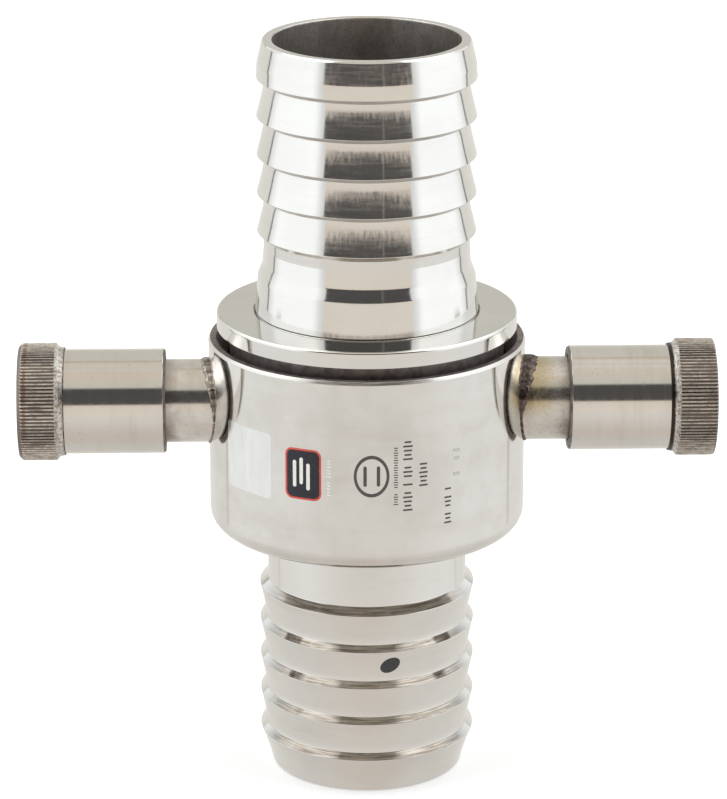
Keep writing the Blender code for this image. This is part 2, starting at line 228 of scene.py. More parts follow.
def lathe(name, outline, steps, closed=True, form=None):
    """A mesh turned about Z. form(radius, height, angle) may change a point's radius."""
    shape = bmesh.new()
    rings = []
    for radius, height in outline:
        ring = []
        for step in range(steps):
            angle = 2 * math.pi * step / steps
            at = form(radius, height, angle) if form else radius
            place = (at * math.cos(angle) * MM, at * math.sin(angle) * MM, height * MM)
            ring.append(shape.verts.new(place))
        rings.append(ring)
    pairs = list(zip(rings, rings[1:]))
    if closed:
        pairs.append((rings[-1], rings[0]))
    for upper, lower in pairs:
        for i in range(steps):
            j = (i + 1) % steps
            shape.faces.new((upper[i], lower[i], lower[j], upper[j]))
    if not closed:
        shape.faces.new(rings[0])
        shape.faces.new(rings[-1][::-1])
    bmesh.ops.recalc_face_normals(shape, faces=shape.faces)
    return mesh_from(shape, name)


def outwards(side):
    """The matrix that lays a mesh turned about Z along the plunger on this side."""
    half_turn = Matrix.Rotation(0.0 if side == "right" else math.pi, 4, "Z")
    lay = Matrix.Rotation(math.pi / 2, 4, "Y")
    return Matrix.Translation((0.0, 0.0, PLUNGER_Z * MM)) @ half_turn @ lay


def new_plunger_piece(name, side, mesh, material, body=None, sharp=32):
    """Lays a turned mesh along its plunger. It rides that plunger unless a body is given."""
    mesh.transform(outwards(side))
    body = body or f"{side}_plunger"
    return new_fine_piece(f"{name}_{side}", mesh, body, material, sharp)


def cut(mesh, *cutters):
    """The mesh less the cutters' meshes, without materials."""
    whole = new_object("whole", mesh)
    helpers = []
    for cutter in cutters:
        helper = new_object("cutter", cutter)
        helpers.append(helper)
        boolean = whole.modifiers.new("cut", "BOOLEAN")
        boolean.object = helper
        boolean.solver = "EXACT"
    graph = bpy.context.evaluated_depsgraph_get()
    made = bpy.data.meshes.new_from_object(whole.evaluated_get(graph))
    for helper in helpers:
        bpy.data.objects.remove(helper)
    bpy.data.objects.remove(whole)
    made.materials.clear()
    return made


def block(low, high):
    shape = bmesh.new()
    bmesh.ops.create_cube(shape, size=1.0)
    for point in shape.verts:
        for axis in range(3):
            point.co[axis] = (high[axis] if point.co[axis] > 0 else low[axis]) * MM
    return mesh_from(shape, "block")


def rod(radius, low, high, steps):
    shape = bmesh.new()
    size = {"radius1": radius * MM, "radius2": radius * MM, "depth": (high - low) * MM}
    bmesh.ops.create_cone(shape, cap_ends=True, segments=steps, **size)
    bmesh.ops.translate(shape, vec=(0.0, 0.0, (high + low) / 2 * MM), verts=shape.verts)
    return mesh_from(shape, "rod")


def wire(name, points, radius, resolution=4):
    """A round wire along the points, as a closed mesh."""
    path = bpy.data.curves.new(name, "CURVE")
    path.dimensions = "3D"
    path.bevel_depth = radius * MM
    path.bevel_resolution = resolution
    path.use_fill_caps = True
    spline = path.splines.new("POLY")
    spline.points.add(len(points) - 1)
    for point, (x, y, z) in zip(spline.points, points):
        point.co = (x * MM, y * MM, z * MM, 1.0)
    holder = new_object(name, path)
    graph = bpy.context.evaluated_depsgraph_get()
    mesh = bpy.data.meshes.new_from_object(holder.evaluated_get(graph))
    bpy.data.objects.remove(holder)
    shape = bmesh.new()
    shape.from_mesh(mesh)
    bmesh.ops.remove_doubles(shape, verts=shape.verts, dist=0.0000001)
    shape.to_mesh(mesh)
    shape.free()
    return mesh


# ---------------------------------------------------------------- node helpers


def set_inputs(tree, node, inputs):
    """Gives each input, by its name or number, another node's socket or a value."""
    for place, value in inputs.items():
        if isinstance(value, bpy.types.NodeSocket):
            tree.links.new(value, node.inputs[place])
        else:
            node.inputs[place].default_value = value


def add_node(tree, kind, inputs, **settings):
    """A shader node with these inputs, as set_inputs takes them, and these settings."""
    node = tree.nodes.new(f"ShaderNode{kind}")
    for setting, value in settings.items():
        setattr(node, setting, value)
    set_inputs(tree, node, inputs)
    return node


def calculate(tree, operation, first, second=0.0):
    return add_node(tree, "Math", {0: first, 1: second}, operation=operation).outputs[0]


def times(tree, product, *others):
    """The product of sockets and numbers."""
    for other in others:
        product = calculate(tree, "MULTIPLY", product, other)
    return product


def between(tree, value, low, high, start=0.0, end=1.0):
    """value brought smoothly from low..high to start..end."""
    inputs = {"Value": value, "From Min": low, "From Max": high, "To Min": start, "To Max": end}
    return add_node(tree, "MapRange", inputs, interpolation_type="SMOOTHSTEP").outputs["Result"]


def between_values(tree, share, first, second):
    """first where share is 0 and second where it is 1."""
    step = calculate(tree, "SUBTRACT", second, first)
    return calculate(tree, "ADD", first, times(tree, step, share))


def mixed(tree, share, first, second):
    """A colour between two others. Each is a socket or a tuple of red, green and blue."""
    first, second = ((*c, 1.0) if isinstance(c, tuple) else c for c in (first, second))
    return add_node(tree, "Mix", {0: share, 6: first, 7: second}, data_type="RGBA").outputs[2]


def over(tree, base, colour, value, low, high, share=1.0):
    """The base under a colour that covers it, up to this share, as value goes from low to high."""
    return mixed(tree, between(tree, value, low, high, 0.0, share), base, colour)


def shade(colour, amount):
    """The colour made darker, or lighter where amount is over 1."""
    return tuple(c * amount for c in colour)


def place_at(tree, stretch, offset=(0.0, 0.0, 0.0)):
    """The object's own coordinates, stretched.

    stretch is in features per metre, as one number or as one for each axis.
    """
    if isinstance(stretch, float):
        stretch = (stretch, stretch, stretch)
    where = add_node(tree, "TexCoord", {}).outputs["Object"]
    inputs = {"Vector": where, "Scale": stretch, "Location": offset}
    return add_node(tree, "Mapping", inputs).outputs["Vector"]


def noise_at(tree, stretch, detail=3.0, roughness=0.6, offset=(0.0, 0.0, 0.0)):
    place = place_at(tree, stretch, offset)
    inputs = {"Vector": place, "Scale": 1.0, "Detail": detail, "Roughness": roughness}
    return add_node(tree, "TexNoise", inputs).outputs["Fac"]


def spots_at(tree, stretch):
    """Distance to the nearest of scattered points, for pits."""
    inputs = {"Vector": place_at(tree, stretch), "Scale": 1.0}
    return add_node(tree, "TexVoronoi", inputs).outputs["Distance"]


def bump(tree, height, distance, under=None):
    inputs = {"Height": height, "Strength": 1.0, "Distance": distance}
    if under is not None:
        inputs["Normal"] = under
    return add_node(tree, "Bump", inputs).outputs["Normal"]


def fringed(tree, tilt):
    """The surface's normal, tipped up and down by this much in narrow upright streaks."""
    streaks = noise_at(tree, (1200.0, 1200.0, 160.0), 3.0, 0.65, (0.6, 1.4, 0.2))
    lift = times(tree, calculate(tree, "SUBTRACT", streaks, 0.5), tilt)
    up = add_node(tree, "CombineXYZ", {"Z": lift}).outputs["Vector"]
    facing = add_node(tree, "NewGeometry", {}).outputs["Normal"]
    tipped = add_node(tree, "VectorMath", {0: facing, 1: up}).outputs["Vector"]
    return add_node(tree, "VectorMath", {0: tipped}, operation="NORMALIZE").outputs["Vector"]


def new_material(name):
    made = bpy.data.materials.new(name)
    made.use_nodes = True
    return made, made.node_tree


def finished(made, base, roughness, normal, metallic=1.0, brushed=None):
    """The material with its surface set.

    brushed is an axis. Reflections are stretched along it, across the marks that run round it.
    """
    tree = made.node_tree
    look = {"Base Color": base, "Roughness": roughness, "Normal": normal, "Metallic": metallic}
    if brushed is not None:
        tangent = add_node(tree, "Tangent", {}, direction_type="RADIAL", axis=brushed)
        look["Tangent"] = tangent.outputs["Tangent"]
        look["Anisotropic"] = 0.65
        look["Anisotropic Rotation"] = 0.25
    set_inputs(tree, tree.nodes["Principled BSDF"], look)
    return made


def along(axis, fine, coarse):
    """Stretch for marks that run round the axis: fine along it and coarse across it."""
    return tuple(fine if name == axis else coarse for name in "XYZ")


# ---------------------------------------------------------------- materials


def crevice(tree, reach):
    """1 in the open and near 0 in tight corners: the mask for painted shade in corners."""
    return add_node(tree, "AmbientOcclusion", {"Distance": reach * MM}, samples=6).outputs["AO"]


def turned_steel(
    name, axis, colour, stain, roughness, waves=0.005, ragged=0.001,
    stained=0.3, clouds=0.14, pits=0.0, corner_shade=0.6, fringe=0.0,
):
    """Stainless steel with fine marks round its axis, faint stains, pits and painted shade in its
    corners.

    waves and ragged are the heights in millimetres of the broad waves and of the turning marks.
    """
    made, tree = new_material(name)
    broad = noise_at(tree, 60.0, 3.0, 0.55)
    streaks = noise_at(tree, along(axis, 1100.0, 110.0), 4.0, 0.6)
    hairlines = noise_at(tree, along(axis, 4200.0, 60.0), 2.0, 0.5, (0.3, 0.7, 0.1))
    smears = noise_at(tree, along(axis, 180.0, 24.0), 3.0, 0.6, (1.7, 0.2, 2.3))

    base = over(tree, colour, stain, smears, 0.5, 0.78, stained)
    base = over(tree, base, shade(stain, 0.8), broad, 0.35, 0.7, clouds)
    base = over(tree, base, shade(stain, 0.6), hairlines, 0.55, 0.75, 0.05)
    if pits > 0:
        patchy = between(tree, noise_at(tree, 90.0, 2.0, 0.5), 0.5, 0.66)
        pit = times(tree, between(tree, spots_at(tree, 620.0), 0.15, 0.07), patchy, pits)
        base = mixed(tree, pit, base, (0.12, 0.10, 0.085))
    # Painted shade: the base colour darkens in tight corners, by the ambient-occlusion mask.
    corner = between(tree, crevice(tree, 1.2), 0.6, 0.2, 0.0, corner_shade)
    base = mixed(tree, corner, base, (0.10, 0.085, 0.07))

    rough = between(tree, streaks, 0.3, 0.75, roughness * 0.7, roughness * 1.35)
    rough = calculate(tree, "ADD", rough, times(tree, corner, 0.3))

    soft = bump(tree, smears, waves * MM, fringed(tree, fringe) if fringe else None)
    marks_on_it = bump(tree, streaks, ragged * MM, soft)
    normal = bump(tree, hairlines, 0.00015 * MM, marks_on_it)
    return finished(made, base, rough, normal, brushed=axis)


def position_mm(tree, axis):
    where = add_node(tree, "TexCoord", {}).outputs["Object"]
    parts = add_node(tree, "SeparateXYZ", {"Vector": where})
    return times(tree, parts.outputs[axis], 1.0 / MM)


def step_face_steel(name, pale, dark, grazing):
    """The barbs' steps: turned, left unpolished, with a painted sheen where they turn edge-on to the
    view and painted shade in their corners.
    """
    made, tree = new_material(name)
    streaks = noise_at(tree, (90.0, 90.0, 2600.0))
    patches = noise_at(tree, 260.0)
    base = over(tree, pale, dark, streaks, 0.35, 0.65)
    base = over(tree, base, (0.6, 0.57, 0.53), patches, 0.5, 0.75, 0.3)
    # Painted sheen: lighter where the face turns edge-on to the view.
    painted_sheen = add_node(tree, "LayerWeight", {}).outputs["Facing"]
    base = over(tree, base, (0.86, 0.85, 0.82), painted_sheen, 0.3, 0.62, grazing)
    # Painted shade: darker in tight corners.
    base = over(tree, base, (0.07, 0.06, 0.05), crevice(tree, 0.6), 0.6, 0.25, 0.6)
    rough = between(tree, patches, 0.3, 0.7, 0.08, 0.18)
    return finished(made, base, rough, bump(tree, streaks, 0.001 * MM), brushed="Z")


def two_toned(name, tone, limits, tones, marks, roughness, height, metallic=1.0, corner_shade=0.0):
    """A plain look: two tones by one noise, and the roughness and relief by another.

    tone and marks are noise_at's values, and limits are the values of over that go with tone.
    """
    made, tree = new_material(name)
    relief = noise_at(tree, *marks)
    base = over(tree, *tones, noise_at(tree, *tone), *limits)
    # Painted shade: darker in tight corners, by the ambient-occlusion mask.
    if corner_shade > 0:
        base = over(tree, base, (0.08, 0.07, 0.06), crevice(tree, 1.0), 0.6, 0.2, corner_shade)
    rough = between(tree, relief, 0.3, 0.7, *roughness)
    return finished(made, base, rough, bump(tree, relief, height * MM), metallic)


def heated_steel(name, tint):
    """The welded tubes: straw and brown heat colours by the weld, a grainy, dirty skin, and painted
    shade by the sleeve's mouth, heavier underneath.
    """
    made, tree = new_material(name)
    along_tube = calculate(tree, "ABSOLUTE", position_mm(tree, "X"))
    grain = noise_at(tree, 900.0, 4.0, 0.7)
    clouds = noise_at(tree, 170.0, 4.0, 0.65, (2.0, 5.0, 1.0))
    marks_round = noise_at(tree, (1300.0, 90.0, 90.0))

    base = over(tree, (0.79, 0.77, 0.74), (0.70, 0.67, 0.63), clouds, 0.35, 0.65)
    upper = between(tree, position_mm(tree, "Z"), PLUNGER_Z - 4.0, PLUNGER_Z + 3.0, 0.1, 1.0)
    edge = calculate(tree, "ADD", along_tube, times(tree, clouds, 5.0))
    straw = times(tree, between(tree, edge, 61.5, 53.0, 0.0, tint), upper)
    base = mixed(tree, straw, base, (0.56, 0.47, 0.30))
    brown = times(tree, between(tree, edge, 53.0, 49.5, 0.0, tint), upper)
    base = mixed(tree, brown, base, (0.34, 0.26, 0.19))
    # Painted shade near the sleeve's mouth: darker towards the sleeve, and more so on the underside.
    lower = between(tree, position_mm(tree, "Z"), PLUNGER_Z, PLUNGER_Z - 6.0, 0.45, 0.8)
    shade_by_sleeve = times(tree, between(tree, edge, 57.5, 62.8), lower)
    base = mixed(tree, shade_by_sleeve, base, (0.22, 0.17, 0.13))
    base = over(tree, base, (0.24, 0.20, 0.16), grain, 0.58, 0.74, 0.2 + 0.35 * tint)

    rough = between(tree, grain, 0.3, 0.7, 0.12 + 0.06 * tint, 0.24 + 0.14 * tint)
    skin = bump(tree, grain, (0.002 + 0.005 * tint) * MM)
    return finished(made, base, rough, bump(tree, marks_round, 0.001 * MM, skin), brushed="X")


def bore_steel():
    """The bore: turned but not polished, and darker."""
    made, tree = new_material("bore_steel")
    rings = noise_at(tree, (60.0, 60.0, 2400.0))
    blotch = noise_at(tree, (140.0, 140.0, 90.0), 4.0, 0.65)
    base = over(tree, (0.61, 0.575, 0.54), (0.37, 0.345, 0.32), blotch, 0.38, 0.66)
    speckle = noise_at(tree, 1500.0, 3.0, 0.65)
    base = over(tree, base, (0.16, 0.14, 0.12), speckle, 0.5, 0.7, 0.5)
    rough = between(tree, blotch, 0.3, 0.7, 0.34, 0.5)
    return finished(made, base, rough, bump(tree, rings, 0.006 * MM))


def knurl_steel(name, rust, brightness, seam_width):
    """The grips: grime and painted shade in the grooves, bright worn crests with a painted
    highlight, a bright collar, and a streak of rust.
    """
    made, tree = new_material(name)
    along_grip = calculate(tree, "ABSOLUTE", position_mm(tree, "X"))
    sideways = calculate(tree, "POWER", position_mm(tree, "Y"), 2.0)
    rise = calculate(tree, "SUBTRACT", position_mm(tree, "Z"), PLUNGER_Z)
    square = calculate(tree, "ADD", sideways, calculate(tree, "POWER", rise, 2.0))
    radius = calculate(tree, "SQRT", square)
    grime = noise_at(tree, (150.0, 420.0, 420.0), 4.0, 0.7)
    fine = noise_at(tree, 1100.0, 3.0, 0.65)

    # Crests and grooves toned by depth: wear and grime, with a painted highlight on the crests and
    # painted shade in the grooves; worn carries both.
    crest = shade((0.70, 0.66, 0.61), brightness)
    groove = shade((0.17, 0.14, 0.12), brightness)
    worn = between(tree, radius, CAP_RADIUS - 0.36, CAP_RADIUS - 0.03)
    worn = times(tree, worn, between(tree, fine, 0.3, 0.55, 0.45, 1.0))
    base = mixed(tree, worn, groove, crest)
    base = over(tree, base, (0.25, 0.21, 0.185), grime, 0.45, 0.66, 0.75)
    ragged_at = calculate(tree, "ADD", along_grip, times(tree, fine, 1.4))
    collar = over(tree, (0.78, 0.76, 0.72), (0.40, 0.35, 0.31), fine, 0.45, 0.62)
    base = over(tree, base, collar, ragged_at, CAP_LOW.x + 3.5, CAP_LOW.x + 2.9)
    seam_end = CAP_LOW.x + 0.7 + seam_width
    base = over(tree, base, (0.05, 0.04, 0.035), ragged_at, seam_end + 0.2, seam_end - 0.2)
    near_end = between(tree, ragged_at, CAP_HIGH.x - 2.3, CAP_HIGH.x - 1.7)
    off_end = between(tree, ragged_at, CAP_HIGH.x - 0.7, CAP_HIGH.x - 1.3)
    upper = between(tree, rise, -7.0, -2.0)
    rusty = times(tree, near_end, off_end, upper, between(tree, grime, 0.36, 0.5, 0.0, rust))
    base = mixed(tree, rusty, base, (0.26, 0.125, 0.085))
    rough = between(tree, grime, 0.3, 0.7, 0.26, 0.46)
    return finished(made, base, rough, bump(tree, fine, 0.03 * MM))


def weld_steel(name, colour, pale):
    """A weld bead: oxidised, rough, with small bright points."""
    made, tree = new_material(name)
    patches = noise_at(tree, 520.0, 4.0, 0.7)
    bright = noise_at(tree, 900.0, 2.0, 0.5, (3.1, 0.4, 1.9))
    base = over(tree, shade(colour, 0.35), colour, patches, 0.4, 0.62)
    base = over(tree, base, (0.72, 0.68, 0.62), bright, 0.56, 0.66, pale)
    rough = between(tree, patches, 0.3, 0.7, 0.28, 0.5)
    return finished(made, base, rough, bump(tree, bright, 0.12 * MM))


def print_ink(name, colour, roughness, wear):
    """Printed or stuck-on colour with a slightly uneven, worn face."""
    made, tree = new_material(name)
    worn = noise_at(tree, 900.0)
    lighter = tuple(min(1.0, c * 1.5 + 0.04) for c in colour)
    base = over(tree, colour, lighter, worn, 0.52, 0.72, wear)
    rough = between(tree, worn, 0.3, 0.7, roughness * 0.85, roughness * 1.15)
    return finished(made, base, rough, bump(tree, worn, 0.004 * MM), 0.0)


def foil():
    """A blank silvery film, a little cloudier than the steel under it, with scratches."""
    made, tree = new_material("blank_foil")
    cloud = noise_at(tree, (110.0, 110.0, 60.0), 4.0)
    scratches = noise_at(tree, (500.0, 500.0, 60.0), 3.0, 0.6, (1.0, 4.0, 2.0))
    base = over(tree, (0.83, 0.84, 0.835), (0.87, 0.885, 0.885), cloud, 0.4, 0.65)
    base = over(tree, base, (0.96, 0.97, 0.97), scratches, 0.55, 0.68, 0.4)
    rough = between(tree, scratches, 0.35, 0.7, 0.08, 0.15)
    return finished(made, base, rough, bump(tree, cloud, 0.002 * MM), 0.9)


POLISHED = ((0.80, 0.785, 0.755), (0.70, 0.655, 0.60))
SATIN = ((0.79, 0.765, 0.73), (0.68, 0.62, 0.55))

cup_steel = turned_steel(
    "cup_steel", "Z", *POLISHED, 0.09, waves=0.0025, ragged=0.0002, clouds=0.32, pits=0.2, corner_shade=0.2
)
upper_steel = turned_steel(
    "upper_tail_steel", "Z", *POLISHED, 0.10, waves=0.006, ragged=0.0015, fringe=0.05
)
lower_steel = turned_steel(
    "lower_tail_steel", "Z", *POLISHED, 0.11, waves=0.0025, ragged=0.0008, stained=0.4, corner_shade=0.25
)
flange_steel = turned_steel("flange_steel", "Z", *POLISHED, 0.08, waves=0.004, ragged=0.0008)
rim_steel = turned_steel("rim_steel", "Z", *SATIN, 0.32, ragged=0.002)
sleeve_steel = turned_steel(
    "sleeve_steel", "X", *SATIN, 0.14, waves=0.003, ragged=0.001, stained=0.5, pits=0.5
)
tube_steel = {
    "left": heated_steel("tube_steel_left", 0.1),
    "right": heated_steel("tube_steel_right", 0.9),
}
LOWER_STEP_TONES = ((0.40, 0.37, 0.33), (0.18, 0.155, 0.13))
UPPER_STEP_TONES = ((0.44, 0.41, 0.375), (0.20, 0.175, 0.15))
lower_step_steel = step_face_steel("lower_step_steel", *LOWER_STEP_TONES, 0.9)
upper_step_steel = step_face_steel("upper_step_steel", *UPPER_STEP_TONES, 0.3)
shaded_steel = two_toned(
    "shaded_steel", (350.0, 4.0, 0.65), (0.35, 0.7), ((0.30, 0.265, 0.25), (0.17, 0.145, 0.14)),
    marks=((60.0, 60.0, 1500.0),), roughness=(0.4, 0.6), height=0.01, metallic=0.7,
)
bore_finish = bore_steel()
grip_steel = {
    "left": knurl_steel("knurl_steel_left", 0.6, 1.32, 0.25),
    "right": knurl_steel("knurl_steel_right", 0.1, 1.12, 1.1),
}
bead_steel = {
    "left": weld_steel("weld_steel_left", (0.46, 0.41, 0.36), 0.9),
    "right": weld_steel("weld_steel_right", (0.20, 0.155, 0.14), 0.15),
}
plain_steel = two_toned(
    "machined_steel", (160.0,), (0.4, 0.7), ((0.62, 0.61, 0.59), (0.45, 0.43, 0.40)),
    marks=(1400.0,), roughness=(0.2, 0.36), height=0.006, corner_shade=0.6,
)
coil_steel = two_toned(
    "spring_wire_steel", (700.0,), (0.4, 0.65), ((0.36, 0.36, 0.37), (0.22, 0.21, 0.21)),
    marks=(700.0,), roughness=(0.25, 0.42), height=0.01,
)
rubber = two_toned(
    "seal_rubber", (220.0,), (0.5, 0.8, 0.5), ((0.018, 0.018, 0.019), (0.07, 0.068, 0.065)),
    marks=(1800.0, 3.0, 0.65), roughness=(0.6, 0.85), height=0.03, metallic=0.0,
)
dark_ink = print_ink("dark_ink", (0.035, 0.034, 0.036), 0.5, 0.5)
stamp_ink = print_ink("stamp_ink", (0.075, 0.066, 0.064), 0.5, 0.6)
faint_ink = print_ink("faint_ink", (0.50, 0.49, 0.46), 0.35, 0.4)
red_ink = print_ink("red_ink", (0.62, 0.07, 0.045), 0.42, 0.4)
label_ink = print_ink("label_ink", (0.012, 0.014, 0.024), 0.38, 0.3)
pale_ink = print_ink("pale_ink", (0.80, 0.79, 0.75), 0.45, 0.2)
blank_foil = foil()


# ---------------------------------------------------------------- tails


def barb_lift(share):
    """How far a slope has risen, 0 to 1. It sweeps up from its root and is then nearly straight."""
    if share < 0.2:
        return 2.4 * share**2
    return 0.096 + 0.96 * (share - 0.2) + 0.2125 * (share - 0.2) ** 2


def barbs(root_radius, step_height):
    """Points from the first crest to the last, measured from the hose end."""
    points = []
    for i, crest in enumerate(CRESTS):
        if i > 0:
            root = CRESTS[i - 1] + step_height
            for step in range(1, 16):
                share = step / 16
                lift = (CREST_RADIUS - root_radius) * barb_lift(share)
                points.append((root_radius + lift, root + share * (crest - root), 0.0))
        points.append((CREST_RADIUS, crest, 0.2))
        if crest != CRESTS[-1]:
            points.append((root_radius, crest + step_height, 0.2))
    return points


def tail_outline(rim, ridges, neck):
    """A closed outline in heights from the hose end, up the outside and back down the bore."""
    top = neck[-1][1]
    corners = rim + ridges + neck + [(BORE, top, 0.3), (BORE, 0.0, 0.45)]
    return refined(filleted(corners), 9.0)


def give_material(mesh, material, chosen):
    """Adds a material and gives it to the faces that chosen(radius, height, normal) picks."""
    mesh.materials.append(material)
    index = len(mesh.materials) - 1
    for face in mesh.polygons:
        radius = math.hypot(*face.center.xy) / MM
        if chosen(radius, face.center.z / MM, face.normal):
            face.material_index = index


def in_bore(radius, _height, _normal):
    return radius < BORE + 0.1


def tail(name, outline, steel, step_steel):
    """A tail with its hose end down, and with its own materials on the steps and in the bore."""
    mesh = lathe(name, outline, ROUND_STEPS)
    mesh.materials.append(steel)
    give_material(mesh, step_steel, lambda _, height, normal: normal.z > 0.45 and height < STEPS_END)
    give_material(mesh, bore_finish, in_bore)
    return mesh


def build_lower_tail():
    rim = [(28.9, 0.0, 0.35)]
    for step in range(1, 8):
        share = step / 8
        rim.append((28.9 + 3.6 * (0.75 * share + 0.25 * share**2), CRESTS[0] * share, 0.0))
    last = CRESTS[-1]
    neck = [(30.0, last + 2.1, 0.3), (30.0, LOWER_HIGH.z, 0.3)]
    ridges = barbs(LOWER_ROOT, LOWER_STEP)
    outline = tail_outline(rim, ridges, neck)
    mesh = tail("female_tail_fine", outline, lower_steel, lower_step_steel)
    new_fine_piece("female_tail", mesh, "female_half")


def build_upper_tail():
    rim = [(30.4, 0.0, 0.35), (30.79, 0.6, 0.35), (32.27, 7.0, 12.0)]
    last = CRESTS[-1]
    base = UPPER_HIGH.z - UPPER_LOW.z
    joint = UPPER_HIGH.z - SPIGOT_HIGH.z
    neck = [
        (30.6, last + 1.5, 0.3),
        (30.6, last + 4.6, 5.0),
        (30.95, last + 9.9, 5.0),
        (32.4, last + 13.6, 3.5),
        (33.3, joint - 0.35, 0.3),
        (32.95, joint + 0.1, 0.1),
        (33.3, joint + 0.6, 0.1),
        (33.3, base, 0.3),
    ]
    ridges = barbs(UPPER_ROOT, UPPER_STEP)
    outline = tail_outline(rim, ridges, neck)
    mesh = tail("male_tail_fine", outline, upper_steel, upper_step_steel)
    turn_over = Matrix.Translation((0.0, 0.0, UPPER_HIGH.z * MM)) @ Matrix.Rotation(math.pi, 4, "X")
    mesh.transform(turn_over)
    new_fine_piece("male_tail", mesh, "male_half")


# ---------------------------------------------------------------- cup and spigot


def build_cup():
    top = BODY_HIGH.z
    bottom = BODY_LOW.z
    corners = [
        (46.85, top, 0.12),
        (BODY_RADIUS, top - 0.95, 0.9),
        (BODY_RADIUS, bottom, 5.5),
        (30.05, bottom, 0.3),
        (30.05, bottom + 4.7, 0.2),
        (BORE, bottom + 4.7, 0.2),
        (BORE, bottom + 7.2, 0.3),
        (42.6, bottom + 7.2, 0.4),
        (42.6, bottom + 18.2, 0.3),
        (41.5, bottom + 19.3, 0.3),
        (41.5, top - 5.0, 0.5),
        (44.3, top - 0.9, 0.3),
        (44.9, top, 0.3),
    ]
    mesh = lathe("female_body_fine", refined(filleted(corners), 1.6), ROUND_STEPS)
    hole = rod(HOUSING_RADIUS + 0.08, -60.0, 60.0, HANDLE_STEPS)
    hole.transform(outwards("right"))
    mesh = cut(mesh, hole)
    mesh.materials.append(cup_steel)
    rim = 46.75
    inner = bottom + 6.8
    give_material(mesh, shaded_steel, lambda radius, height, _: radius < rim and height > inner)
    give_material(mesh, rim_steel, lambda radius, height, _: radius > rim and height > top - 1.1)
    new_fine_piece("female_body", mesh, "female_half")


def build_spigot():
    flange_top = SPIGOT_HIGH.z
    flange_bottom = flange_top - 5.0
    flange = SPIGOT_HIGH.x
    corners = [
        (33.8, flange_top, 0.15),
        (flange, flange_top, 0.8),
        (flange, flange_bottom, 0.2),
        (41.0, flange_bottom, 0.4),
        (41.0, 124.5, 0.4),
        (36.5, 124.5, 0.8),
        (36.5, 108.3, 0.8),
        (41.0, 108.3, 0.5),
        (41.0, 101.0, 1.0),
        (38.4, SPIGOT_LOW.z, 1.0),
        (BORE, SPIGOT_LOW.z, 0.4),
        (BORE, 136.0, 0.2),
        (33.35, 136.0, 0.2),
        (33.35, flange_top - 0.5, 0.1),
    ]
    mesh = lathe("male_spigot_fine", refined(filleted(corners), 6.0), ROUND_STEPS)
    mesh.materials.append(flange_steel)
    give_material(
        mesh, shaded_steel, lambda radius, height, _: height < flange_bottom + 0.05 or radius < 33.5
    )
    new_fine_piece("male_spigot", mesh, "male_half")


def build_seal():
    low = SEAL_LOW.z
    high = SEAL_HIGH.z
    corners = [
        (42.2, high - 0.7, 0.6),
        (42.2, low, 0.5),
        (28.6, low, 0.5),
        (28.6, high, 0.6),
        (31.4, high, 0.6),
        (34.0, low + 3.9, 1.2),
        (38.4, low + 3.9, 1.2),
        (39.6, high - 0.7, 0.6),
    ]
    mesh = lathe("sealing_washer_fine", filleted(corners), ROUND_STEPS)
    new_fine_piece("sealing_washer", mesh, "female_half", rubber)


# ---------------------------------------------------------------- plungers


def build_housing(side):
    """The welded tube. Its web below the tooth is cut from a solid end."""
    inner, outer = HOUSING_LOW.x, HOUSING_HIGH.x
    corners = [
        (HOUSING_BORE, outer, 0.3),
        (HOUSING_RADIUS, outer, 0.5),
        (HOUSING_RADIUS, inner, 0.3),
        (0.05, inner, 0.0),
        (0.05, inner + 1.9, 0.0),
        (HOUSING_BORE, inner + 1.9, 0.2),
    ]
    mesh = lathe("housing", refined(filleted(corners), 3.0), HANDLE_STEPS)
    web_drop = 6.3
    kept = block((web_drop, -20.0, inner - 2.0), (20.0, 20.0, inner + 3.0))
    bore = cut(rod(HOUSING_BORE, inner - 1.0, inner + 2.5, HANDLE_STEPS), kept)
    mesh = cut(mesh, bore)
    metal = tube_steel[side]
    new_plunger_piece("plunger_housing", side, mesh, metal, "female_half")


def weld_width(side, angle):
    """Half the bead's width at an angle round the tube: 90 is the top and 180 the front.

    Both beads are heaviest at the top front. The one on the right has a long tapering tail.
    """
    up = math.sin(angle)
    if side == "right":
        width = 0.34 + 1.55 * max(0.0, up + 0.12) ** 0.9 + 0.5 * max(0.0, -up - 0.72)
    else:
        width = 0.24 + 0.8 * max(0.0, up + 0.25) + 0.2 * max(0.0, -up - 0.6)
    rough = noise.noise(Vector((math.cos(angle) * 9.0, math.sin(angle) * 9.0, 7.0)))
    return width * (1.0 + 0.35 * rough)


def build_weld(side):
    """A rough bead along the line where the tube meets the cup."""
    shape = bmesh.new()
    rings = []
    around, section = 420, 20
    for step in range(around):
        angle = 2 * math.pi * step / around
        y = HOUSING_RADIUS * math.cos(angle)
        z = HOUSING_RADIUS * math.sin(angle)
        x = math.sqrt(BODY_RADIUS**2 - y**2)
        radial = Vector((0.0, math.cos(angle), math.sin(angle)))
        along_tube = Vector((1.0, 0.0, 0.0))
        width = weld_width(side, angle)
        ring = []
        for part in range(section):
            turn = 2 * math.pi * part / section
            seed = Vector((math.cos(angle) * 13, math.sin(angle) * 13, turn * 0.9))
            fine = Vector((math.cos(angle) * 60, math.sin(angle) * 60, turn * 2.0))
            rough = 0.22 * noise.noise(seed) + 0.2 * noise.noise(fine)
            high = (0.3 + 0.16 * width) * (1.0 + rough) * math.cos(turn)
            wide = width * (1.0 + rough) * math.sin(turn)
            point = Vector((x - 0.1, y, z)) + radial * high + along_tube * (wide + width * 0.75)
            point.x *= OUTWARD[side]
            ring.append(shape.verts.new((point.x * MM, point.y * MM, (point.z + PLUNGER_Z) * MM)))
        rings.append(ring)
    for i in range(around):
        add_strip(shape, rings[i], rings[(i + 1) % around])
    bmesh.ops.recalc_face_normals(shape, faces=shape.faces)
    mesh = mesh_from(shape, f"weld_{side}")
    mesh.shade_smooth()
    new_piece(f"weld_{side}", mesh, bead_steel[side], "female_half")


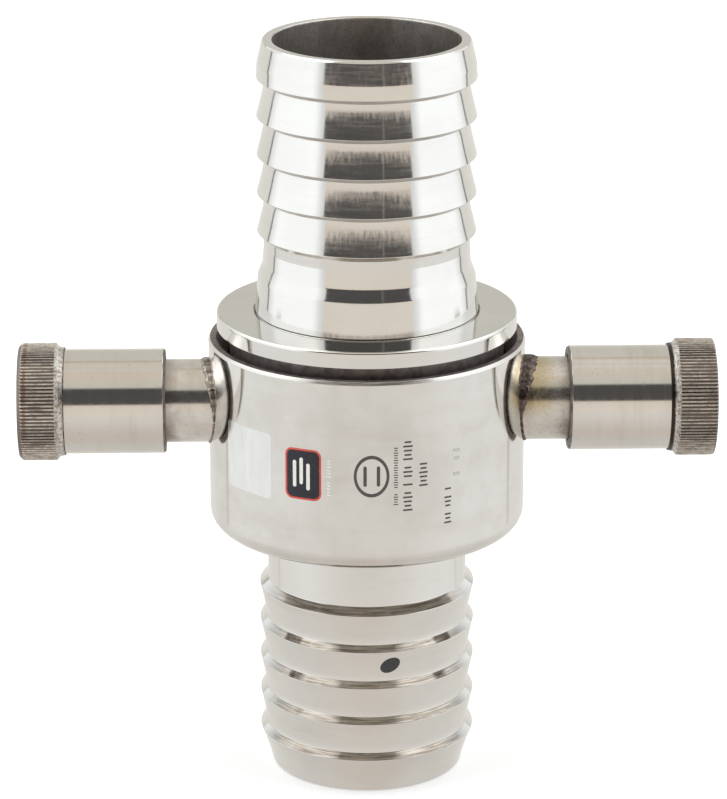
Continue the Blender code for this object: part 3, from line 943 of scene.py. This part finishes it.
def build_plug(side):
    rim = 12.3
    corners = [
        (rim, PLUG_HIGH.x, 0.5),
        (rim, HOUSING_HIGH.x + 0.1, 0.2),
        (9.4, HOUSING_HIGH.x + 0.1, 0.2),
        (9.4, PLUG_SHOULDER, 0.4),
        (5.5, PLUG_SHOULDER, 0.3),
        (5.5, PLUG_LOW.x, 0.3),
        (4.25, PLUG_LOW.x, 0.2),
        (4.25, PLUG_HIGH.x, 0.3),
    ]
    mesh = lathe("plug", refined(filleted(corners), 4.0), SMALL_STEPS)
    new_plunger_piece("housing_plug", side, mesh, plain_steel, "female_half")


def build_plunger(side):
    """Tooth, head and spindle. The spindle's end is threaded for the nut."""
    tooth_end, spindle_end = PLUNGER_LOW.x, PLUNGER_HIGH.x
    thread_from = NUT_LOW.x - 1.0
    corners = [
        (0.02, spindle_end, 0.0),
        (SPINDLE_RADIUS - 0.6, spindle_end, 0.0),
        (SPINDLE_RADIUS, spindle_end - 0.6, 0.0),
    ]
    threads = [
        (SPINDLE_RADIUS, spindle_end - 0.6 - step * THREAD_PITCH / 8)
        for step in range(1, int((spindle_end - 0.6 - thread_from) / (THREAD_PITCH / 8)))
    ]
    rest = [
        (SPINDLE_RADIUS, thread_from, 0.0),
        (SPINDLE_RADIUS, 56.0, 0.4),
        (HEAD_RADIUS, 56.0, 0.5),
        (HEAD_RADIUS, tooth_end, 0.4),
        (0.02, tooth_end, 0.0),
    ]
    outline = [(radius, height) for radius, height, _ in corners] + threads
    outline += filleted(rest, closed=False)

    def thread(radius, height, angle):
        if abs(radius - SPINDLE_RADIUS) > 0.01 or height < thread_from + 0.1:
            return radius
        turn = (height / THREAD_PITCH + angle / (2 * math.pi)) % 1.0
        return radius - 0.55 * (1 - abs(2 * turn - 1))

    mesh = lathe("plunger", refined(outline, 8.0, closed=False), SMALL_STEPS, False, thread)
    flat = block((6.0, -20.0, tooth_end - 2.0), (20.0, 20.0, 44.2))
    slope = block((-30.0, -20.0, -30.0), (0.0, 20.0, 30.0))
    lean = Matrix.Rotation(math.radians(-45), 4, "Y")
    slope.transform(Matrix.Translation((1.0 * MM, 0.0, tooth_end * MM)) @ lean)
    pin_hole = rod(0.75, -8.0, 8.0, 24)
    pin_hole.transform(Matrix.Rotation(math.pi / 2, 4, "X"))
    pin_at = (PIN_LOW.x + PIN_HIGH.x) / 2
    pin_hole.transform(Matrix.Translation((0.0, 0.0, pin_at * MM)))
    mesh = cut(mesh, flat, slope, pin_hole)
    new_plunger_piece("plunger", side, mesh, plain_steel)


def build_spring(side):
    wire_radius = 0.9
    coil_radius = (SPRING_HIGH.z - SPRING_LOW.z) / 2 - wire_radius
    low = SPRING_LOW.x + wire_radius
    high = SPRING_HIGH.x - wire_radius
    turns, per_turn = 7, 40
    points = []
    for step in range(turns * per_turn + 1):
        share = step / (turns * per_turn)
        angle = 2 * math.pi * turns * share
        along_coil = low + share * (high - low)
        points.append((coil_radius * math.cos(angle), coil_radius * math.sin(angle), along_coil))
    mesh = wire("spring", points, wire_radius, 3)
    spring = new_plunger_piece("spring", side, mesh, coil_steel, "female_half", 50)
    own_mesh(spring)


def build_sleeve(side):
    inner, outer = SLEEVE_LOW.x, SLEEVE_HIGH.x
    corners = [
        (SLEEVE_RADIUS, outer, 0.2),
        (SLEEVE_RADIUS, inner + 0.75, 0.2),
        (SLEEVE_RADIUS - 0.5, inner, 0.2),
        (13.0, inner, 0.35),
        (13.0, outer, 0.2),
    ]
    mesh = lathe("sleeve", refined(filleted(corners), 5.0), HANDLE_STEPS)
    mesh.materials.append(sleeve_steel)
    give_material(mesh, shaded_steel, lambda radius, height, _: radius < SLEEVE_RADIUS - 0.1)
    new_plunger_piece("pull_sleeve", side, mesh, None)


def build_cap(side):
    """The grip. Its knurl is real geometry: each tooth has a flat crest and a narrow groove."""
    inner, outer = CAP_LOW.x, CAP_HIGH.x
    knurl_from = inner + 2.6
    depth = 0.42
    end_bevel = 0.4 if side == "right" else 1.2
    corners = [
        (15.75, inner, 0.15),
        (16.15, inner, 0.25),
        (16.45, inner + 1.7, 0.3),
        (CAP_RADIUS - 0.1, knurl_from, 0.2),
        (CAP_RADIUS, knurl_from + 0.3, 0.1),
        (CAP_RADIUS, outer - end_bevel, 0.15),
        (CAP_RADIUS - end_bevel, outer, 0.2),
        (9.5, outer, 0.4),
        (9.5, inner + 6.3, 0.3),
        (4.25, inner + 6.3, 0.2),
        (4.25, inner + 3.6, 0.2),
        (15.75, inner + 3.6, 0.2),
    ]
    outline = refined(filleted(corners), 1.2)
    per_tooth = 6
    steps = KNURL_TEETH * per_tooth
    profile = (1.0, 1.0, 0.6, 0.0, 0.0, 0.6)

    def knurl(radius, height, angle):
        floor = CAP_RADIUS - depth
        if radius <= floor or height < knurl_from - 0.2:
            return radius
        step = round(angle / (2 * math.pi) * steps)
        tooth, place = divmod(step % steps, per_tooth)
        wear = 0.32 * (0.5 + 0.5 * noise.noise(Vector((tooth * 1.7, height * 0.35, 2.0))))
        share = profile[place] * (1.0 - wear)
        ramp = min(1.0, max(0.0, (height - knurl_from + 0.2) / 0.5))
        return radius - (radius - floor) * (1.0 - share) * ramp

    mesh = lathe("cap", outline, steps, True, knurl)
    new_plunger_piece("knurled_cap", side, mesh, grip_steel[side], sharp=28)


def build_washer(side):
    outline = [
        (8.0, WASHER_HIGH.x, 0.2),
        (8.0, WASHER_LOW.x, 0.2),
        (4.25, WASHER_LOW.x, 0.1),
        (4.25, WASHER_HIGH.x, 0.1),
    ]
    mesh = lathe("washer", filleted(outline), SMALL_STEPS)
    new_plunger_piece("spindle_washer", side, mesh, plain_steel)


def build_nut(side):
    """A hexagon nut: a turned outline whose radius is cut back to the six flats."""
    flats = (NUT_HIGH.z - NUT_LOW.z) / 2
    corner = flats / math.cos(math.pi / 6)
    low, high = NUT_LOW.x, NUT_HIGH.x
    outline = [
        (4.12, high - 0.4),
        (4.5, high),
        (flats - 0.1, high),
        (corner + 0.1, high - 0.75),
        (corner + 0.1, low + 0.75),
        (flats - 0.1, low),
        (4.5, low),
        (4.12, low + 0.4),
    ]

    def hexagon(radius, _height, angle):
        to_flat = (angle + math.pi / 6) % (math.pi / 3) - math.pi / 6
        return min(radius, flats / math.cos(to_flat))

    mesh = lathe("nut", outline, 96, True, hexagon)
    new_plunger_piece("spindle_nut", side, mesh, plain_steel, sharp=25)


def build_split_pin(side):
    """Two legs from one wire, side by side through the spindle, with an eye at one end."""
    at = (PIN_LOW.x + PIN_HIGH.x) / 2
    leg = 0.31
    points = [(leg + 1.3, -6.0, at), (leg + 0.5, -5.5, at), (leg, -4.8, at), (leg, 4.6, at)]
    for step in range(1, 24):
        angle = math.radians(-70 + 320 * step / 24)
        points.append((1.1 * math.cos(angle), 5.9 + 1.1 * math.sin(angle), at))
    points += [(-leg, 4.6, at), (-leg, -4.8, at), (-leg - 0.4, -5.4, at), (-leg - 1.0, -5.9, at)]
    mesh = wire("pin", points, 0.29, 2)
    new_plunger_piece("split_pin", side, mesh, plain_steel, sharp=50)


# ---------------------------------------------------------------- generic marks


def rounded_outline(width, height, corner, steps=5):
    """Points round a rectangle with round corners, centred on the origin."""
    points = []
    for sign_x, sign_y, start in ((1, 1, 0), (-1, 1, 90), (-1, -1, 180), (1, -1, 270)):
        for step in range(steps + 1):
            angle = math.radians(start + 90 * step / steps)
            x = sign_x * (width / 2 - corner) + corner * math.cos(angle)
            y = sign_y * (height / 2 - corner) + corner * math.sin(angle)
            points.append((x, y))
    return refined(points, 1.2)


def round_outline(width, height, tilt=0.0, steps=40):
    points = []
    across, up = math.cos(math.radians(tilt)), math.sin(math.radians(tilt))
    for step in range(steps):
        angle = 2 * math.pi * step / steps
        x = width / 2 * math.cos(angle)
        y = height / 2 * math.sin(angle)
        points.append((x * across - y * up, x * up + y * across))
    return points


def cup_radius(_height):
    return BODY_RADIUS


def lower_tail_radius(height):
    """The slope that rises to the fourth crest from the hose end."""
    root = CRESTS[2] + LOWER_STEP
    share = (height - root) / (CRESTS[3] - root)
    return LOWER_ROOT + (CREST_RADIUS - LOWER_ROOT) * barb_lift(share)


def add_patch(
    shape, outline, azimuth, height, lift=PRINT_LIFT, thick=PRINT_THICKNESS,
    hollow=None, radius_at=cup_radius,
):
    """Adds a thin closed patch that follows a round face.

    The outline is in millimetres along the face, centred at this azimuth from the front and this
    height. With hollow, only a band that wide along the outline is made.
    """
    scales = [1.0, 0.8, 0.6, 0.4, 0.2]
    if hollow is not None:
        scales = [1.0, 1.0 - hollow / max(abs(x) for x, _ in outline)]

    def point_at(x, y, extra):
        radius = (radius_at(height + y) + lift + extra) * MM
        angle = math.radians(azimuth) + x / radius_at(height)
        place = (radius * math.sin(angle), -radius * math.cos(angle), (height + y) * MM)
        return shape.verts.new(place)

    layers = []
    for extra in (thick, 0.0):
        loops = [[point_at(x * scale, y * scale, extra) for x, y in outline] for scale in scales]
        for outer, inner in zip(loops, loops[1:]):
            add_strip(shape, outer, inner)
        if hollow is None:
            shape.faces.new(loops[-1])
        layers.append(loops)
    for edge in [0] if hollow is None else [0, -1]:
        add_strip(shape, layers[0][edge], layers[1][edge])


def marks(name, material, patches):
    """One piece from several patches, each a tuple of add_patch's values."""
    shape = bmesh.new()
    for patch in patches:
        add_patch(shape, *patch)
    bmesh.ops.recalc_face_normals(shape, faces=shape.faces)
    mesh = mesh_from(shape, name)
    smoothed(mesh, 40)
    new_piece(name, mesh, material, "female_half")


def stroke_row(azimuth, low, high, tall, pitch, skipped=()):
    """A row of plain strokes that runs up the cup, as a stand-in for a printed line."""
    strokes = []
    count = int((high - low) / pitch)
    for i in range(count):
        if i in skipped:
            continue
        share = (1.0, 0.72, 0.86)[i * 7 % 3]
        outline = rounded_outline(tall * share, pitch * 0.42, pitch * 0.14, 2)
        strokes.append((outline, azimuth, low + (i + 0.5) * pitch))
    return strokes


def bars(azimuth, height, placed, lift=PRINT_LIFT):
    """Upright bars round one centre, each (degrees sideways, up, width, length)."""
    made = []
    for across, up, width, length in placed:
        outline = rounded_outline(width, length, width * 0.45, 4)
        made.append((outline, azimuth + across, height + up, lift))
    return made


def build_marks():
    """Plain shapes only: a blank foil, a label with bars, a ringed bar pair and rows of strokes."""
    marks("blank_foil_patch", blank_foil, [(rounded_outline(19.5, 20.0, 1.0), -49.3, 106.7)])

    label_at, label_height = -24.6, 106.2
    border = rounded_outline(11.4, 15.6, 2.2)
    marks("label_border", red_ink, [(border, label_at, label_height)])
    field = rounded_outline(10.2, 14.4, 1.7)
    marks("label_field", label_ink, [(field, label_at, label_height, 0.036)])
    lines = ((-3.2, 0.0, 1.1, 8.2), (-0.6, 1.0, 1.1, 8.2), (2.0, -0.6, 1.1, 8.2))
    marks("label_bars", pale_ink, bars(label_at, label_height, lines, 0.06))
    marks("side_strokes", pale_ink, stroke_row(-15.0, 100.2, 112.4, 1.3, 0.95, (5,)))

    stamp_at, stamp_height = 0.2, 106.8
    ring = round_outline(10.4, 12.8)
    stamp = [(ring, stamp_at, stamp_height, PRINT_LIFT, PRINT_THICKNESS, 0.85)]
    stamp += bars(stamp_at, stamp_height, ((-2.3, 0.0, 1.0, 6.2), (2.4, 0.0, 1.0, 6.2)))
    marks("round_stamp", stamp_ink, stamp)

    strokes = stroke_row(8.8, 97.6, 115.6, 1.4, 0.75, (5, 6))
    strokes += stroke_row(13.1, 95.4, 118.0, 2.9, 1.3, (5, 7, 11))
    strokes += stroke_row(18.85, 102.6, 110.6, 2.7, 1.3)
    strokes += stroke_row(28.5, 89.9, 102.7, 2.4, 1.3, (3, 7))
    marks("printed_strokes", stamp_ink, strokes)
    marks("faint_strokes", faint_ink, stroke_row(32.0, 103.9, 118.2, 2.4, 2.4, (1, 4)))

    dot = round_outline(6.4, 4.6, 30)
    marks("inspection_dot", dark_ink, [(dot, 11.3, 41.35, 0.02, 0.03, None, lower_tail_radius)])


# ---------------------------------------------------------------- studio

# In degrees from the front: where the side panels begin and end, and a pale slit in the card.
FRONT_EDGE = 47.0
SIDE_EDGE = 123.0
SLIT_AT = 16.0
BACKDROP = (0.975, 0.99, 1.0, 1.0)

# What reflections meet in each direction: elevation in degrees, then red, green and blue.
FRONT_CARD = (
    (-60, 0.34, 0.31, 0.285),
    (-25, 0.40, 0.385, 0.365),
    (-17.5, 0.394, 0.385, 0.37),
    (-15, 0.42, 0.395, 0.36),
    (7.5, 0.41, 0.37, 0.33),
    (10.5, 0.046, 0.044, 0.043),
    (43.5, 0.040, 0.039, 0.039),
    (47.5, 0.33, 0.33, 0.30),
    (75, 0.36, 0.32, 0.28),
)
SIDE_PANELS = (
    (-60, 0.33, 0.32, 0.305),
    (-34, 0.385, 0.38, 0.365),
    (-22, 0.46, 0.458, 0.45),
    (-15.2, 0.425, 0.425, 0.415),
    (-13.2, 0.605, 0.625, 0.64),
    (25, 0.615, 0.635, 0.65),
    (40, 1.1, 1.1, 1.09),
    (62, 1.1, 1.1, 1.09),
    (80, 0.38, 0.36, 0.33),
)
BACK_WALL = (
    (-60, 0.34, 0.33, 0.31),
    (-15, 0.42, 0.415, 0.395),
    (2, 0.42, 0.415, 0.39),
    (14, 0.32, 0.315, 0.29),
    (60, 0.34, 0.33, 0.30),
    (66, 0.28, 0.24, 0.20),
    (70, 0.36, 0.33, 0.29),
)


def elevation_ramp(tree, share, stops):
    """A colour ramp over elevation, where share is 0 straight down and 1 straight up."""
    ramp = add_node(tree, "ValToRGB", {"Fac": share})
    elements = ramp.color_ramp.elements
    while len(elements) < len(stops):
        elements.new(0.5)
    for element, (elevation, *colour) in zip(elements, stops):
        element.position = (elevation + 90.0) / 180.0
        element.color = (*colour, 1.0)
    return ramp.outputs["Color"]


def build_world():
    """A soft studio: a dark card in front, bright panels at both sides, and pale walls and floor.

    Only reflections and light see it. The camera sees a plain pale backdrop.
    """
    world = bpy.data.worlds.new("studio")
    bpy.context.scene.world = world
    world.use_nodes = True
    tree = world.node_tree
    tree.nodes.clear()
    where = add_node(tree, "TexCoord", {}).outputs["Generated"]
    parts = add_node(tree, "SeparateXYZ", {"Vector": where}).outputs
    forward = times(tree, parts["Y"], -1.0)
    bearing = times(tree, calculate(tree, "ARCTAN2", parts["X"], forward), 180.0 / math.pi)
    azimuth = calculate(tree, "ABSOLUTE", bearing)
    elevation = calculate(tree, "ARCSINE", parts["Z"])
    inputs = {0: elevation, 1: 1.0 / math.pi, 2: 0.5}
    share = add_node(tree, "Math", inputs, operation="MULTIPLY_ADD").outputs[0]

    front = elevation_ramp(tree, share, FRONT_CARD)
    side = elevation_ramp(tree, share, SIDE_PANELS)
    back = elevation_ramp(tree, share, BACK_WALL)
    above_floor = between(tree, elevation, math.radians(-16.4), math.radians(-13.6))
    off_slit = calculate(tree, "ABSOLUTE", calculate(tree, "SUBTRACT", bearing, SLIT_AT))
    slit = times(tree, between(tree, off_slit, 0.9, 0.3), above_floor, 0.22)
    front = mixed(tree, slit, front, (0.40, 0.38, 0.34))
    sharp_side = between(tree, azimuth, FRONT_EDGE - 1.0, FRONT_EDGE + 1.0)
    wide_side = between(tree, azimuth, 10.0, 85.0)
    to_side = between_values(tree, above_floor, wide_side, sharp_side)
    widening = between(tree, elevation, math.radians(4), math.radians(11), 0.0, 28.0)
    edge_azimuth = calculate(tree, "SUBTRACT", azimuth, widening)
    sharp_back = between(tree, edge_azimuth, SIDE_EDGE - 1.5, SIDE_EDGE + 1.5)
    wide_back = between(tree, azimuth, 95.0, 150.0)
    to_back = between_values(tree, above_floor, wide_back, sharp_back)
    fall_in = between(tree, azimuth, FRONT_EDGE, FRONT_EDGE + 13.0, 0.55, 0.0)
    fall_out = between(tree, azimuth, SIDE_EDGE - 14.0, SIDE_EDGE, 0.0, 0.35)
    fall = times(tree, calculate(tree, "MAXIMUM", fall_in, fall_out), above_floor)
    side = mixed(tree, fall, side, (0.24, 0.24, 0.235))
    colour = mixed(tree, to_side, front, side)
    colour = mixed(tree, to_back, colour, back)
    frame_in = between(tree, edge_azimuth, SIDE_EDGE - 0.5, SIDE_EDGE + 1.5)
    frame_out = between(tree, edge_azimuth, SIDE_EDGE + 4.5, SIDE_EDGE + 2.5)
    low_cut = between(tree, elevation, math.radians(-24), math.radians(-12))
    high_cut = between(tree, elevation, math.radians(62), math.radians(50))
    frame_line = times(tree, frame_in, frame_out, low_cut, high_cut, 0.8)
    colour = mixed(tree, frame_line, colour, (0.05, 0.048, 0.045))

    seen = add_node(tree, "Background", {"Color": BACKDROP, "Strength": 1.0})
    lit = add_node(tree, "Background", {"Color": colour, "Strength": 2.0})
    to_camera = add_node(tree, "LightPath", {}).outputs["Is Camera Ray"]
    inputs = {"Fac": to_camera, 1: lit.outputs["Background"], 2: seen.outputs["Background"]}
    chosen = add_node(tree, "MixShader", inputs).outputs["Shader"]
    add_node(tree, "OutputWorld", {"Surface": chosen})


def build_floor():
    """A pale floor under the coupling. It takes the soft shadow and stays out of reflections."""
    shape = bmesh.new()
    bmesh.ops.create_grid(shape, x_segments=8, y_segments=8, size=4.0)
    mesh = mesh_from(shape, "studio_floor")
    made, tree = new_material("pale_floor")
    grain = noise_at(tree, 3.0, 2.0, 0.5)
    tint = over(tree, (0.86, 0.875, 0.88), (0.88, 0.89, 0.895), grain, 0.3, 0.7)
    glow = {"Emission Color": BACKDROP, "Emission Strength": 0.35}
    matt = {"Base Color": tint, "Roughness": 0.9, "Specular IOR Level": 0.0}
    set_inputs(tree, tree.nodes["Principled BSDF"], matt | glow)
    mesh.materials.append(made)
    floor = new_object("studio_floor", mesh)
    floor.location = (0.0, 0.0, -0.0003)
    floor.visible_glossy = False


def build_camera():
    """A long lens, a little above the plungers, looking down 18 degrees."""
    distance = 1.1616
    down = math.radians(18.15)
    turned = math.radians(1.5)
    look = Vector((0.0, 0.0, (PLUNGER_Z - 0.2) * MM))
    level = math.cos(down)
    towards = Vector((math.sin(turned) * level, math.cos(turned) * level, -math.sin(down)))
    lens = bpy.data.cameras.new("view")
    lens.lens = 174.3
    lens.sensor_width = 36.0
    lens.shift_x = -0.0041
    camera = new_object("view", lens)
    camera.location = look - towards * distance
    camera.rotation_euler = towards.to_track_quat("-Z", "Y").to_euler()
    bpy.context.scene.camera = camera


def main():
    build_lower_tail()
    build_upper_tail()
    build_cup()
    build_spigot()
    build_seal()
    for side in ("left", "right"):
        build_housing(side)
        build_weld(side)
        build_plug(side)
        build_plunger(side)
        build_spring(side)
        build_sleeve(side)
        build_cap(side)
        build_washer(side)
        build_nut(side)
        build_split_pin(side)
    build_marks()
    build_world()
    build_floor()
    build_camera()
    bpy.context.scene.view_settings.view_transform = "Standard"


main()
